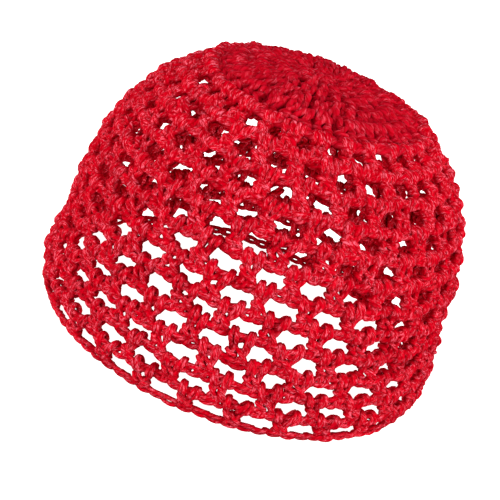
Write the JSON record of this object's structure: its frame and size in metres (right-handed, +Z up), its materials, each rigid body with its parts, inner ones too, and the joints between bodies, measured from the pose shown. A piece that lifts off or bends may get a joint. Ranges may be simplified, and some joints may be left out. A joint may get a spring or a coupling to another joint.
{
  "type": "skull cap",
  "caption": "Brimless skull cap crocheted in rounds, with a dense crown, an open net side, a narrow edging at the rim and a hollow for the head.",
  "frame": {"origin": "middle of the rim, on the surface that the cap stands on", "axes": "+Z up through the pole of the crown, -Y towards the front that the picture shows, +X to that view's right"},
  "size_m": [0.1824, 0.1828, 0.1254],
  "materials": {
    "crown_yarn": "crocheted yarn with a soft shine",
    "net_yarn": "crocheted yarn with a soft shine",
    "edging_yarn": "crocheted yarn with a soft shine"
  },
  "bodies": {
    "root": {"crown": "crown_yarn", "net_band_6": "net_yarn", "net_band_5": "net_yarn", "net_band_4": "net_yarn", "net_band_3": "net_yarn", "net_band_2": "net_yarn", "net_band_1": "net_yarn", "rim_edging": "edging_yarn"}
  },
  "joints": []
}
